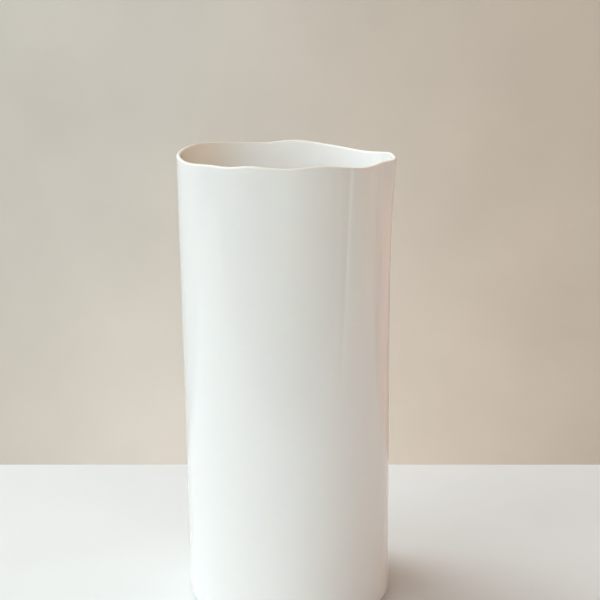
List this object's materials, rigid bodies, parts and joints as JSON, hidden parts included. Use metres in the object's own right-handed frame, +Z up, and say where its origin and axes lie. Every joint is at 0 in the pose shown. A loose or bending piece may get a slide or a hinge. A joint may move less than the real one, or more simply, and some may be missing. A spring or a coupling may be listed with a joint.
{
  "type": "ceramic cylinder vase",
  "caption": "Tall white glazed porcelain cylinder vase with a thin wavy lip pinched into a small beak, standing on an unglazed foot ring.",
  "frame": {"origin": "on the table plane, under the axis of the round wall", "axes": "+Z up along the axis of the wall, +X towards the side with the beak, which points 15 degrees from +X towards the front, -Y towards the picture's viewer"},
  "size_m": [0.118, 0.115, 0.2551],
  "materials": {
    "glaze": "glossy clear glaze on white porcelain",
    "bare_porcelain": "matt, unglazed, sponged smooth"
  },
  "bodies": {
    "root": {"slab_wall": "glaze", "base_disc": "glaze", "corner_coil": "glaze", "foot_ring": "bare_porcelain"}
  },
  "joints": []
}
